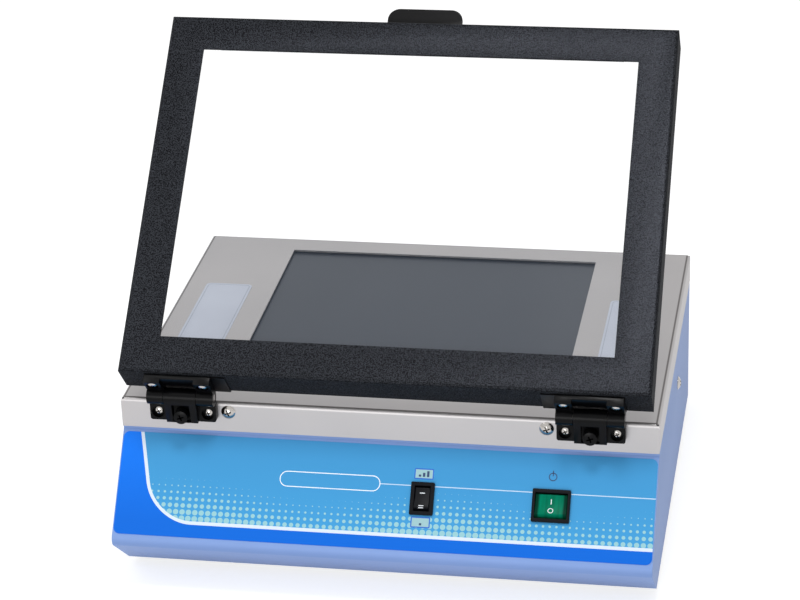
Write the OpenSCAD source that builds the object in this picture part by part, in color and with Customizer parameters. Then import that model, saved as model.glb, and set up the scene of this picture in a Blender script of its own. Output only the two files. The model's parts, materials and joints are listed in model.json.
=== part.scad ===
// Bench-top ultraviolet transilluminator with a hinged viewing lid.
// Millimetres. X is to the right, Y to the back, Z up. The origin is on the bench,
// under the middle of the instrument. The lid is drawn open, as it stands in use.

/* [Body] */
// Width of the stainless cover
cover_w = 345; // [342:1:380]
// Depth of the stainless cover, front lip to rear lip
cover_d = 256; // [252:1:290]
// Height from the housing's underside to the top of the cover
body_h = 111; // [108:1:130]
// Thickness of the housing's painted sheet
base_t = 1.2; // [0.8:0.1:2]
// Outside radius of the folds round the housing's top
fold_r = 2; // [1.6:0.1:2.5]
// How far the housing's walls lie inside the cover's sides, below its lips
wall_step = 0.1; // [0:0.05:0.5]
// Width of the flange folded inwards round the housing's top
rim_w = 9; // [6:0.5:10]
// Width of the flange folded inwards round the housing's bottom
floor_rim = 12; // [10:0.5:16]
// Thickness of the bottom plate
bottom_t = 1.2; // [0.8:0.1:2]

/* [Feet] */
// Height of the rubber feet
foot_h = 6; // [4:0.5:10]
// Diameter of a foot where it meets the bench
foot_d = 22; // [16:1:28]
// Distance from the cover's side to the middle of a foot
foot_in_x = 32; // [28:1:50]
// Distance from the cover's front and rear to the middle of a foot
foot_in_y = 26; // [24:1:50]

/* [Cover] */
// Thickness of the stainless sheet
cover_t = 1.2; // [0.8:0.1:1.6]
// Outside radius of the cover's folds
cover_r = 2.6; // [2:0.1:4]
// Height of the lips folded down on all four sides
lip_h = 20.5; // [16:0.5:22]
// Gap between the cover's lips and the housing inside them
sheet_fit = 0.2; // [0.1:0.05:0.5]
// Distance from the cover's side to a cover screw
cover_screw_in = 70.5; // [68:0.5:90]
// Distance of the cover screws below the top
cover_screw_drop = 6.6; // [5.5:0.1:9]

/* [Control panel] */
// Distance from the top down to the fold where the panel starts
panel_drop = 22.8; // [22.5:0.1:26]
// Length of the sloping panel, fold to nose
panel_len = 75.7; // [73:0.1:80]
// Lean of the panel away from the vertical, degrees
panel_tilt = 40.4; // [38:0.1:43]
// Radius of the fold at the nose
nose_r = 6; // [4:0.5:6.5]
// Margin of the panel's film at its left and right
film_side = 0.6; // [0.4:0.1:6]
// Distance from the fold to the film's upper edge
film_drop = 2; // [1:0.1:2.5]
// Height of the film along the slope
film_h = 66.8; // [60:0.1:67]
// Thickness of the film
film_t = 0.3; // [0.2:0.1:0.6]
// Corner radius of the film
film_r = 4; // [2:0.5:8]

/* [Switches] */
// Middle of the intensity switch, to the right of the centre line
intensity_x = 25.5; // [10:0.5:60]
// Middle of the power switch, to the right of the centre line
power_x = 107; // [90:0.5:130]
// Width of the intensity switch's bezel
intensity_w = 15; // [14:0.5:18]
// Width of the power switch's bezel
power_w = 24; // [22:0.5:26]
// Height of both bezels along the slope
bezel_l = 21; // [20.5:0.1:22]
// How far a bezel stands above the film
bezel_h = 1.6; // [1:0.1:2.5]
// Width of a bezel's rim round its rocker
bezel_rim = 2.4; // [2:0.1:2.8]
// Width of the same rim at the power rocker's sides
power_side_rim = 1.7; // [1.5:0.1:2.8]
// Turn of a rocker from one side to the other, degrees
rocker_throw = 20; // [14:1:22]
// Depth of a switch's body behind the panel
switch_depth = 19; // [16:0.5:21]

/* [Filter] */
// Distance from the cover's side to the filter's opening
filter_side = 64.5; // [60:0.5:72]
// Distance from the cover's front and rear to the filter's opening
filter_edge = 20; // [19:0.5:28]
// Thickness of the filter glass
filter_t = 5; // [4:0.5:6]
// How far the glass runs on under the edge of the opening
filter_lap = 5; // [4:0.5:6]
// Thickness of the gasket over the glass
gasket_t = 0.8; // [0.5:0.1:1.5]
// Thickness of the retainer's sheet
retainer_t = 1.5; // [1:0.1:2]

/* [Lid] */
// Angle at which the lid stands open, degrees
lid_open = 41.3; // [30:0.1:60]
// Height of the lid's walls
lid_h = 26.9; // [24:0.1:32]
// Thickness of the lid's sheet
lid_t = 1.5; // [1:0.1:1.8]
// Outside radius of the lid's folds
lid_r = 2.2; // [2:0.1:3]
// Gap under the closed lid's walls
lid_gap = 0.5; // [0.3:0.1:1]
// Distance of the lid's side walls inside the cover's sides
lid_side = 4; // [2:0.5:8]
// Width of the frame round the lid's window
lid_border = 24.5; // [22:0.5:32]
// Thickness of the clear pane
pane_t = 5; // [3:0.5:6]
// How far the pane runs on under the frame
pane_lap = 11; // [8:0.5:11]
// Width of the lid's finger tab
tab_w = 50; // [40:1:70]
// How far the finger tab stands out behind the lid
tab_out = 15; // [12:0.5:20]
// Corner radius of the finger tab
tab_r = 8; // [4:0.5:10]
// Thickness of the finger tab
tab_t = 2; // [1.5:0.1:3]
// Depth of the finger tab below the lid's top
tab_drop = 10; // [7:0.5:12]

/* [Hinges] */
// Distance from the cover's side to the middle of a hinge
hinge_in = 42.2; // [38:0.1:44]
// Width of a hinge
hinge_w = 43; // [40:0.5:46]
// Width of a hinge's middle knuckle
knuckle_w = 21; // [18:0.5:22]
// Radius of the knuckles
knuckle_r = 5.5; // [5:0.1:5.7]
// Height of the hinge axis above the cover
axis_rise = 6.5; // [6:0.1:7.5]
// Distance of the hinge axis in front of the cover's lip
axis_out = 7; // [6.8:0.1:8]
// Thickness of a hinge leaf
leaf_t = 5.5; // [4.5:0.1:5.5]
// Length of a hinge leaf from the axis
leaf_l = 18; // [17:0.5:19]
// Distance of the leaf screws from the axis
leaf_screw_l = 12.5; // [12:0.1:13]
// Distance between a leaf's two screws
leaf_screw_w = 32.4; // [31:0.1:33]
// Radius of the hinge pin
pin_r = 2.5; // [2:0.1:3]
// Thickness of the spacer between hinge and lid
spacer_t = 1; // [0.8:0.1:2]
// Running gap round the pins and shafts
run_fit = 0.05; // [0.03:0.01:0.08]

/* [Lamps] */
// Number of ultraviolet tubes
tube_count = 6; // [4:1:6]
// Distance from the tray's front and rear walls to the nearest tube's axis
tube_in = 29; // [20:1:40]
// Diameter of a tube
tube_d = 16; // [15:0.5:17]
// Distance from the cover's side to the end of a tube
lamp_room = 28.5; // [27:0.5:40]
// Distance of the tubes' axes below the top of the cover
tube_drop = 38; // [34:1:42]
// Distance of the reflector tray below the tubes' axes
tray_drop = 20; // [17:0.5:22]
// Thickness of the reflector tray
tray_t = 1; // [0.8:0.1:1.5]
// Distance from the cover's front and rear to the reflector tray
tray_room = 14; // [12:0.5:18]
// Height of the tray's walls
tray_h = 17; // [15:0.5:20]

/* [Power supply] */
// Distance from the centre line to a ballast
ballast_in = 10; // [5:0.5:20]
// Distance from a ballast to the housing's side wall
ballast_side = 21.2; // [10:0.1:30]
// Width of a ballast
ballast_w = 42; // [30:1:46]
// Height of a ballast
ballast_h = 28; // [20:1:32]
// Distance from the cover's right side to the middle of the mains inlet
inlet_in = 62.5; // [45:0.5:80]
// Middle of the mains inlet above the housing's underside
inlet_z = 30; // [28:1:34]
// Side of the square cooling fan
fan_w = 40; // [38:1:42]
// Thickness of the cooling fan
fan_t = 20; // [15:0.5:20]
// Distance from the cover's left side to the middle of the fan
fan_in = 102.5; // [75:0.5:120]
// Middle of the fan above the housing's underside
fan_z = 28; // [26:1:30]

/* [Hidden] */
$fn = 64;

SIDES = [-1, 1];
EPS = 0.01;
CUT = 40;
M3_R = 1.5;
M4_R = 2;
HOLE_FIT = 0.2;
SEAT_FIT = 0.3;

// Heads and nuts of the screws
M3_HEAD_R = 2.8;
M3_HEAD_H = 1.8;
M3_NUT_R = 3;
M3_NUT_H = 2.2;
M4_HEAD_R = 4.6;
M4_HEAD_H = 2.3;
M4_NUT_R = 3.5;
CROSS_W = 0.8;
BIG_CROSS_W = 1;
DOMED = 0.9;
FLAT = 0.12;

// Main planes. The lip plane is the cover's front face.
top_z = foot_h + body_h;
housing_top = top_z - cover_t;
wall_in = cover_t + sheet_fit;
base_w = cover_w - 2 * wall_step;
inner_w = base_w - 2 * base_t;
neck_w = cover_w - 2 * wall_in;
neck_z = top_z - lip_h - 0.3;
rear_reach = 5;
nose_reach = panel_len * sin(panel_tilt)
  - nose_r * (cos(panel_tilt) + sin(panel_tilt) - 1) - wall_in;
lip_y = -(cover_d + rear_reach - wall_in - nose_reach) / 2;
face_y = lip_y + wall_in;
rear_y = lip_y + cover_d - wall_in;
mid_y = lip_y + cover_d / 2;
bend_z = top_z - panel_drop;
nose_y = face_y - panel_len * sin(panel_tilt);
nose_z = bend_z - panel_len * cos(panel_tilt);
floor_z = foot_h + bottom_t;
floor_screw_in = 14;
slot_back = 52;
slot_pitch = 9;

// Where the panel's film and the middle of the switches lie along the slope
switch_s = film_drop + film_h / 2;
bezel_lap = 0.9;
cutout_l = bezel_l - 2 * bezel_lap;
pivot_depth = 3;
pivot_r = 1.2;
switch_cavity = 10;

// Filter's opening, and the studs that carry its retainer
filter_w = cover_w - 2 * filter_side;
filter_d = cover_d - 2 * filter_edge;
retainer_foot = 9;
stud_x = filter_w / 2 + filter_lap + SEAT_FIT + retainer_t + retainer_foot / 2;
stud_y = filter_d / 2 - 28;
stud_l = 7;

// Lamps and tray
tube_z = top_z - tube_drop;
tray_z = tube_z - tray_drop;
tray_w = inner_w - 2 * sheet_fit;
tray_d = cover_d - 2 * tray_room;
tube_l = cover_w - 2 * lamp_room;
tube_pitch = (tray_d - 2 * tube_in) / (tube_count - 1);
side_screw_y = mid_y + 23;
side_screw_z = tray_z + 10;
socket_t = 8;
socket_w = 20;
post_in_x = 50;
post_in_y = 30;
tube_pin_y = 2.4;
tube_pin_r = 1.2;
ballast_l = inner_w / 2 - ballast_in - ballast_side;
ballast_x = ballast_in + ballast_l / 2;
ballast_front = 20;
ballast_foot = 10;

// Lid
lid_w = cover_w - 2 * lid_side;
lid_d = cover_d - spacer_t;
lid_y = lip_y + spacer_t;
lid_top = top_z + lid_gap + lid_h;
window_w = lid_w - 2 * lid_border;
window_d = lid_d - 2 * lid_border;
pane_w = window_w + 2 * pane_lap;
pane_d = window_d + 2 * pane_lap;
pane_z = lid_top - lid_t - pane_t;
strip_w = 8;
strip_t = 1.2;
strip_short = 10;
strip_l = window_w - 2 * strip_short;
strip_foot = lid_border - pane_lap - lid_r - SEAT_FIT;
strip_screw_in = 34;
tab_foot = 10;
tab_screw_drop = 7;

// Hinges
axis_y = lip_y - axis_out;
axis_z = top_z + axis_rise;
hinge_x = cover_w / 2 - hinge_in;
leaf_front = axis_out - leaf_t;
side_knuckle_w = (hinge_w - knuckle_w) / 2;
knuckle_gap = 0.15;
counterbore = 2.6;
lid_counterbore = 1.4;
counterbore_r = 4.1;
leaf_corner = 1.5;
backing_t = 2.5;
backing_w = leaf_screw_w + 12;
base_backing_h = 10;
lid_backing_h = 14;
spacer_tail = 9;

// Mains inlet, a standard flanged connector with a fuse drawer
inlet_x = cover_w / 2 - inlet_in;
INLET_W = 28;
INLET_L = 48;
INLET_T = 2.6;
INLET_EAR = 7;
INLET_FIT = 0.4;
INLET_SHANK = 9;
PIN_TAIL = 8;
INLET_DEPTH = 22;
RECESS_W = 24;
RECESS_L = 16.4;
RECESS_DEPTH = 17;
RECESS_UP = 6;
RECESS_CORNER = 5;
PIN_W = 2;
PIN_L = 4;
PIN_X = 7;
PIN_Y = 2;
DRAWER_W = 20;
DRAWER_L = 9;
DRAWER_DOWN = 11;
DRAWER_DEPTH = 20;

// Fan hub, metal caps of the tubes, terminal block and earth stud
fan_x = cover_w / 2 - fan_in;
FAN_HUB_R = 9;
GUARD_RINGS = 4;
guard_lift = 2.6;
guard_pitch = 0.45 * fan_w / GUARD_RINGS;
CAP_L = 10;
TERMINAL_L = 56;
TERMINAL_W = 18;
TERMINAL_H = 14;
TERMINAL_X = 20;
TERMINAL_Y = rear_y - 49.6;
TERMINAL_PITCH = 9;
EARTH_X = 80;
EARTH_Y = rear_y - 29.6;

// Middle block of a hinge, its face tangent to the knuckle, and the screw that sets its grip
TORQUE_HEAD_R = 4.5;
TORQUE_HEAD_H = 5.6;
TORQUE_SHANK_R = 2;
BLOCK_LEAN = 13.6;
BLOCK_RIB = 4.4;
BLOCK_RIM = 0.7;
block_w = knuckle_w - 0.6;
block_top = 4;
block_front = -knuckle_r * cos(BLOCK_LEAN) + (leaf_l - knuckle_r * sin(BLOCK_LEAN)) * tan(BLOCK_LEAN);
web_back = axis_out - 0.6;

// Outline of the housing in the YZ plane, set in by d at the walls and down at the
// bottom. The undercut below the nose is square to the panel.
function toe(d, down) =
  let (s = (nose_z + d * cos(panel_tilt) - foot_h - down) / sin(panel_tilt))
  [nose_y + d * sin(panel_tilt) + s * cos(panel_tilt), foot_h + down];
function fold(c, r, from, n = 10) =
  [for (i = [0:n]) let (a = from + 90 * i / n) c + r * [cos(a), sin(a)]];
nose_centre = [nose_y + nose_r * (cos(panel_tilt) + sin(panel_tilt)),
               nose_z + nose_r * (cos(panel_tilt) - sin(panel_tilt))];
function housing_outline(d, down) = concat(
  [[rear_y - d, foot_h + down]],
  fold([rear_y - fold_r, housing_top - fold_r], fold_r - d, 0),
  fold([face_y + fold_r, housing_top - fold_r], fold_r - d, 90),
  [[face_y + d, bend_z - d * tan(panel_tilt / 2)]],
  fold(nose_centre, nose_r - d, 180 - panel_tilt), [toe(d, down)]);
toe_y = toe(0, 0)[0];

// Extrusions along X, centred
module along_x(w) rotate([90, 0, 90]) linear_extrude(w, center = true) children();

// Places things on the sloping panel: X right, Y up the slope, Z out of the panel
module on_panel(x, s, out = 0)
  translate([x, face_y, bend_z]) rotate([90 - panel_tilt, 0, 0]) translate([0, -s, out]) children();

// Places things on the rear wall: X to the left, Y up, Z out of the wall
module on_rear(x, z) translate([x, rear_y, foot_h + z]) rotate([90, 0, 180]) children();

// Turns the lid's pieces from closed to where the lid stands open
module lid_pose()
  translate([0, axis_y, axis_z]) rotate([lid_open, 0, 0]) translate([0, -axis_y, -axis_z]) children();

// Rectangle with round corners, centred
module round_rect(w, l, r) {
  square([w - 2 * r, l], center = true);
  square([w, l - 2 * r], center = true);
  for (sx = SIDES, sy = SIDES) translate([sx * (w / 2 - r), sy * (l / 2 - r)]) circle(r);
}

// Rectangle standing on the X axis, its two upper corners round
module hump(w, h, r) intersection() {
  translate([-w / 2, 0]) square([w, h]);
  union() {
    translate([-w / 2, 0]) square([w, h - r]);
    translate([-w / 2 + r, 0]) square([w - 2 * r, h]);
    for (s = SIDES) translate([s * (w / 2 - r), h - r]) circle(r);
  }
}

// Block whose four upper edges are round, standing on z = 0
module soft_block(w, d, h, r) intersection() {
  along_x(w) hump(d, h, r);
  rotate([90, 0, 0]) linear_extrude(d, center = true) hump(w, h, r);
}

// Folded sheet-metal pan, open below
module pan(w, d, h, t, r) difference() {
  soft_block(w, d, h, r);
  translate([0, 0, -EPS]) soft_block(w - 2 * t, d - 2 * t, h - t + EPS, max(r - t, 0.4));
}

// Screw, its head from z = 0 up and its shank down. cross is the recess width, crown the
// share of the head's height that is domed.
module screw(head_r, head_h, shank_r, shank_l, cross = 0, crown = 0.5) {
  dome_h = head_h * crown;
  dome_r = (head_r * head_r + dome_h * dome_h) / (2 * dome_h);
  difference() {
    intersection() {
      cylinder(h = head_h, r = head_r);
      translate([0, 0, head_h - dome_r]) sphere(dome_r);
    }
    if (cross > 0) for (a = [20, 110])
      rotate([0, 0, a]) translate([-head_r / 2, -cross / 2, head_h * 0.4]) cube([head_r, cross, head_h]);
  }
  translate([0, 0, -shank_l]) cylinder(h = shank_l + EPS, r = shank_r);
}

// Positions
module at_cover_screws() for (sx = SIDES, sy = SIDES)
  translate([sx * (cover_w / 2 - cover_screw_in), mid_y + sy * cover_d / 2, top_z - cover_screw_drop])
    rotate([-sy * 90, 0, 0]) children();
module at_side_screws() for (s = SIDES)
  translate([s * base_w / 2, side_screw_y, side_screw_z]) rotate([0, s * 90, 0]) children();
module at_feet() for (sx = SIDES, sy = SIDES)
  translate([sx * (cover_w / 2 - foot_in_x), mid_y + sy * (cover_d / 2 - foot_in_y), 0]) children();
module at_floor_screws() for (sx = SIDES, sy = [-1, 0, 1])
  translate([sx * (inner_w - floor_rim) / 2, mid_y + sy * (cover_d / 2 - floor_screw_in), foot_h])
    children();
module at_retainer_studs() for (sx = SIDES, y = [-stud_y, 0, stud_y])
  translate([sx * stud_x, mid_y + y, housing_top]) children();
module at_posts() for (sx = SIDES, sy = SIDES)
  translate([sx * (tray_w / 2 - post_in_x), mid_y + sy * (tray_d / 2 - post_in_y), 0]) children();
module at_tubes() for (i = [0:tube_count - 1])
  translate([0, mid_y + (i - (tube_count - 1) / 2) * tube_pitch, tube_z]) children();
module at_ballasts() for (s = SIDES) translate([s * ballast_x, mid_y - ballast_front, floor_z]) children();
module at_strip_screws() for (sy = SIDES, sx = [-1, 0, 1])
  translate([sx * (strip_l / 2 - strip_screw_in),
             lid_y + lid_d / 2 + sy * (window_d / 2 + pane_lap + SEAT_FIT + (strip_t + strip_foot) / 2),
             lid_top - lid_t]) children();
module at_tab_screws() for (s = SIDES)
  translate([s * tab_w * 0.3, lid_y + lid_d, lid_top - tab_drop - tab_screw_drop]) children();
module at_hinge(side) translate([side * hinge_x, axis_y, axis_z]) children();
// Leaf screws of one leaf, on the face that the hinge is screwed to: end is -1 for base, 1 for lid
module at_leaf_screws(side, end) at_hinge(side) for (s = SIDES)
  translate([s * leaf_screw_w / 2, axis_out, end * leaf_screw_l]) rotate([90, 0, 0]) children();

// Housing: painted sheet, folded and welded, open above and below. Its side walls are
// flush with the cover and step in to a neck that goes up inside the cover's lips.
module housing_shape(d, down) intersection() {
  along_x(base_w) polygon(housing_outline(d, down));
  translate([0, 0, foot_h]) rotate([90, 0, 0]) linear_extrude(2 * cover_d, center = true) {
    hump(neck_w - 2 * d, housing_top - foot_h - d, fold_r - d);
    translate([-base_w / 2 + d, 0]) square([base_w - 2 * d, neck_z - foot_h - d]);
  }
}
module base_housing() color("#9aabdc") difference() {
  housing_shape(0, 0);
  housing_shape(base_t, bottom_t + base_t);
  translate([-neck_w / 2 + rim_w, face_y + rim_w, housing_top - CUT / 2])
    cube([neck_w - 2 * rim_w, rear_y - face_y - 2 * rim_w, CUT]);
  translate([-inner_w / 2 + floor_rim, toe_y + floor_rim, foot_h - 1])
    cube([inner_w - 2 * floor_rim, rear_y - toe_y - 2 * floor_rim, CUT / 4]);
  translate([-inner_w / 2, toe_y + 3 * base_t, foot_h - 1])
    cube([inner_w, rear_y - toe_y - 4 * base_t, bottom_t + 1]);
  for (sw = [[intensity_x, intensity_w], [power_x, power_w]])
    on_panel(sw[0], switch_s) cube([sw[1] - 2 * bezel_lap, cutout_l, CUT / 4], center = true);
  on_rear(inlet_x, inlet_z) cube([INLET_W - 1, INLET_L - 2 * INLET_EAR, CUT / 4], center = true);
  on_rear(inlet_x, inlet_z) at_inlet_screws() cylinder(h = CUT / 4, r = M3_R + HOLE_FIT, center = true);
  on_rear(-fan_x, fan_z) cylinder(h = CUT / 4, d = fan_w - 3, center = true);
  on_rear(-fan_x, fan_z) at_fan_screws() cylinder(h = CUT / 4, r = M3_R + HOLE_FIT, center = true);
  at_cover_screws() cylinder(h = CUT / 4, r = M4_R + run_fit, center = true);
  at_side_screws() cylinder(h = CUT / 4, r = M4_R + HOLE_FIT, center = true);
  at_floor_screws() cylinder(h = CUT / 4, r = M3_R + run_fit);
  for (s = SIDES) at_leaf_screws(s, -1) cylinder(h = CUT / 2, r = M3_R + HOLE_FIT, center = true);
}

// Bottom plate with its air slots
module bottom_plate() {
  plate_y0 = toe_y + 3 * base_t + SEAT_FIT;
  plate_y1 = rear_y - base_t - SEAT_FIT;
  slot_l = 36;
  color("#8f949c") difference() {
    translate([-inner_w / 2 + SEAT_FIT, plate_y0, foot_h])
      cube([inner_w - 2 * SEAT_FIT, plate_y1 - plate_y0, bottom_t]);
    at_floor_screws() cylinder(h = CUT, r = M3_R + HOLE_FIT, center = true);
    at_feet() cylinder(h = CUT, r = M4_R + HOLE_FIT, center = true);
    at_posts() cylinder(h = CUT, r = M3_R + HOLE_FIT, center = true);
    at_ballasts() at_ballast_screws() cylinder(h = CUT, r = M3_R + HOLE_FIT, center = true);
    for (sx = SIDES, i = [0:6])
      translate([sx * ballast_x + (i - 3) * slot_pitch, mid_y + slot_back, foot_h])
        linear_extrude(CUT / 4, center = true) round_rect(4, slot_l, 1.9);
    translate([TERMINAL_X, TERMINAL_Y, foot_h]) for (s = SIDES)
      translate([s * (TERMINAL_L / 2 - 4), 0, 0]) cylinder(h = CUT / 4, r = M3_R + HOLE_FIT, center = true);
    translate([EARTH_X, EARTH_Y, 0]) cylinder(h = CUT, r = M4_R + run_fit, center = true);
  }
}

// Four rubber feet, each a turned cone with a recess for its screw
module feet() color("#1c1c1e") at_feet() rotate_extrude()
  polygon([[M4_R + HOLE_FIT, 2.5], [4.6, 2.5], [4.6, 0], [foot_d / 2 - 1, 0], [foot_d / 2, 1],
           [foot_d / 2 - 1.5, foot_h], [M4_R + HOLE_FIT, foot_h]]);
module foot_screws() color("#c8c8cc") at_feet() {
  translate([0, 0, 2.5]) mirror([0, 0, 1]) screw(4, 2.2, M4_R, foot_h + bottom_t + 3, CROSS_W);
  translate([0, 0, floor_z]) nut(M4_NUT_R, M4_R);
}
module nut(r, hole_r, h = 2.4) difference() {
  cylinder(h = h, r = r, $fn = 6);
  translate([0, 0, -1]) cylinder(h = h + 2, r = hole_r + run_fit);
}
module bottom_screws() color("#c8c8cc") at_floor_screws()
  mirror([0, 0, 1]) screw(M3_HEAD_R, M3_HEAD_H, M3_R, bottom_t + base_t + 2, CROSS_W);

// Stainless cover: a pan that caps the housing, with small open reliefs at its corners
module top_cover() color("#c9c8ca") difference() {
  translate([0, mid_y, top_z - lip_h]) pan(cover_w, cover_d, lip_h, cover_t, cover_r);
  translate([-filter_w / 2, mid_y - filter_d / 2, top_z - CUT / 2]) cube([filter_w, filter_d, CUT]);
  for (sx = SIDES, sy = SIDES)
    translate([sx * (cover_w / 2 - cover_r / 2), mid_y + sy * (cover_d / 2 - cover_r / 2), top_z - cover_r])
      cylinder(h = CUT, r = cover_r / 3);
  at_cover_screws() cylinder(h = CUT / 4, r = M4_R + HOLE_FIT, center = true);
  for (s = SIDES) at_leaf_screws(s, -1) cylinder(h = CUT / 4, r = M3_R + HOLE_FIT, center = true);
}
module cover_screws() color("#d4d2cf") at_cover_screws()
  screw(M4_HEAD_R, M4_HEAD_H, M4_R, wall_in + base_t + 4, BIG_CROSS_W, DOMED);
module side_screws() color("#d4d2cf") at_side_screws()
  screw(M4_HEAD_R, M4_HEAD_H, M4_R, base_t + sheet_fit + tray_t + 4, BIG_CROSS_W, DOMED);

// Filter glass, hung under the opening between a gasket and a folded retainer
module filter_glass() color("#4c535e") translate([0, mid_y, housing_top - gasket_t - filter_t / 2])
  cube([filter_w + 2 * filter_lap, filter_d + 2 * filter_lap, filter_t], center = true);
module filter_gasket() color("#202022") translate([0, mid_y, housing_top - gasket_t / 2]) difference() {
  cube([filter_w + 2 * filter_lap, filter_d + 2 * filter_lap, gasket_t], center = true);
  cube([filter_w + 1, filter_d + 1, CUT / 4], center = true);
}
module filter_retainer() {
  pocket_w = filter_w + 2 * (filter_lap + SEAT_FIT);
  pocket_d = filter_d + 2 * (filter_lap + SEAT_FIT);
  pocket_h = gasket_t + filter_t;
  wall_w = pocket_w + 2 * retainer_t;
  wall_d = pocket_d + 2 * retainer_t;
  wall_h = pocket_h + retainer_t;
  color("#b9bcc0") translate([0, mid_y, housing_top]) difference() {
    union() {
      translate([0, 0, -wall_h / 2]) cube([wall_w, wall_d, wall_h], center = true);
      translate([0, 0, -retainer_t / 2])
        cube([wall_w + 2 * retainer_foot, wall_d, retainer_t], center = true);
    }
    translate([-pocket_w / 2, -pocket_d / 2, -pocket_h]) cube([pocket_w, pocket_d, pocket_h + 1]);
    cube([filter_w, filter_d, CUT], center = true);
    translate([0, -mid_y, -housing_top]) at_retainer_studs()
      cylinder(h = CUT / 4, r = M3_R + HOLE_FIT, center = true);
  }
}
module retainer_studs() color("#c8c8cc") at_retainer_studs() mirror([0, 0, 1]) {
  cylinder(h = stud_l, r = M3_R);
  translate([0, 0, retainer_t]) difference() {
    cylinder(h = M3_NUT_H, r = M3_NUT_R, $fn = 6);
    translate([0, 0, -1]) cylinder(h = CUT, r = M3_R - EPS);
  }
}

// Printed film over the whole control panel
module panel_film() color("#3f97d3") difference() {
  on_panel(0, switch_s) linear_extrude(film_t) round_rect(base_w - 2 * film_side, film_h, film_r);
  for (sw = [[intensity_x, intensity_w], [power_x, power_w]])
    on_panel(sw[0], switch_s) cube([sw[1] - 2 * bezel_lap, cutout_l, CUT / 4], center = true);
}

// Rocker switch: bezel and body in one, open in front for its rocker
module switch_body(w, side_rim) {
  body_w = w - 2;
  body_l = cutout_l - 0.2;
  open_w = w - 2 * side_rim;
  open_l = bezel_l - 2 * bezel_rim + 0.2;
  difference() {
    union() {
      linear_extrude(bezel_h) round_rect(w, bezel_l, 0.8);
      translate([-body_w / 2, -body_l / 2, -switch_depth]) cube([body_w, body_l, switch_depth + EPS]);
      for (s = SIDES) along_x(body_w * 0.5)
        polygon([[s * body_l / 2, -base_t - film_t - 0.4], [s * (body_l / 2 + 0.9), -base_t - film_t - 0.4],
                 [s * body_l / 2, -base_t - film_t - 6]]);
    }
    translate([-open_w / 2, -open_l / 2, -switch_cavity]) cube([open_w, open_l, CUT]);
    translate([0, 0, -pivot_depth]) rotate([0, 90, 0])
      cylinder(h = open_w + 2, r = pivot_r + run_fit, center = true);
  }
}

// Rocker seen from its pivot: two flats that meet in a shallow valley, ends round about the pivot
module rocker(w, side_rim) {
  rock_w = w - 2 * side_rim - 0.6;
  end_r = bezel_l / 2 - bezel_rim - 0.2;
  rest = rocker_throw / 2;
  valley = pivot_depth + 0.5;
  crest = valley + end_r * tan(rest);
  translate([0, 0, -pivot_depth]) rotate([-rest, 0, 0]) {
    along_x(rock_w) intersection() {
      circle(end_r);
      polygon([[-end_r, -2], [end_r, -2], [end_r, crest], [0, valley], [-end_r, crest]]);
    }
    rotate([0, 90, 0]) cylinder(h = rock_w + 1.6, r = pivot_r, center = true);
  }
}

// Flat push-on tabs at the back of a switch
module tabs(xs) for (x = xs) translate([x - 0.4, -2.4, -switch_depth - 7.5]) cube([0.8, 4.8, 7.5]);

module intensity_switch() color("#1d1e20") on_panel(intensity_x, switch_s, film_t)
  switch_body(intensity_w, bezel_rim);
module intensity_rocker() color("#232427") on_panel(intensity_x, switch_s, film_t)
  rocker(intensity_w, bezel_rim);
module intensity_terminals() color("#c9c2a8") on_panel(intensity_x, switch_s, film_t)
  for (y = [-6, 0, 6]) translate([0, y, 0]) rotate([0, 0, 90]) tabs([0]);
module power_switch() color("#1d1e20") on_panel(power_x, switch_s, film_t)
  switch_body(power_w, power_side_rim);
module power_rocker() color("#0a8a62") on_panel(power_x, switch_s, film_t)
  rocker(power_w, power_side_rim);
module power_terminals() color("#c9c2a8") on_panel(power_x, switch_s, film_t)
  for (y = [-5, 5]) translate([0, y, 0]) tabs([-7, 7]);

// Mains inlet: flange, body, socket recess above and fuse drawer below
module at_inlet_screws() for (s = SIDES)
  translate([0, s * (INLET_L / 2 - INLET_EAR / 2 - 0.5), 0]) children();
module mains_inlet() color("#191a1c") on_rear(inlet_x, inlet_z) difference() {
  union() {
    linear_extrude(INLET_T) round_rect(INLET_W, INLET_L, 2.5);
    translate([0, 0, -INLET_DEPTH / 2])
      cube([INLET_W - 1 - INLET_FIT, INLET_L - 2 * INLET_EAR - INLET_FIT, INLET_DEPTH], center = true);
  }
  translate([0, RECESS_UP, INLET_T - RECESS_DEPTH]) linear_extrude(RECESS_DEPTH + 1) polygon([
    [-RECESS_W / 2, -RECESS_L / 2], [RECESS_W / 2, -RECESS_L / 2],
    [RECESS_W / 2, RECESS_L / 2 - RECESS_CORNER], [RECESS_W / 2 - RECESS_CORNER, RECESS_L / 2],
    [RECESS_CORNER - RECESS_W / 2, RECESS_L / 2], [-RECESS_W / 2, RECESS_L / 2 - RECESS_CORNER]]);
  translate([0, -DRAWER_DOWN, INLET_T - DRAWER_DEPTH / 2 + EPS])
    cube([DRAWER_W + 0.2, DRAWER_L + 0.2, DRAWER_DEPTH + 0.4], center = true);
  translate([0, RECESS_UP, 0]) at_inlet_pins() cube([PIN_W, PIN_L, CUT * 2], center = true);
  at_inlet_screws() {
    cylinder(h = CUT / 4, r = M3_R + HOLE_FIT, center = true);
    translate([0, 0, INLET_T - M3_HEAD_H]) cylinder(h = 3, r = M3_HEAD_R + SEAT_FIT);
  }
}
module at_inlet_pins() for (p = [[-PIN_X, -PIN_Y], [PIN_X, -PIN_Y], [0, PIN_Y]])
  translate([p[0], p[1], 0]) children();
module inlet_pins() color("#cfc9b0") on_rear(inlet_x, inlet_z) translate([0, RECESS_UP, 0]) at_inlet_pins()
  translate([-PIN_W / 2, -PIN_L / 2, -INLET_DEPTH - PIN_TAIL]) cube([PIN_W, PIN_L, INLET_DEPTH + PIN_TAIL]);
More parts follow.
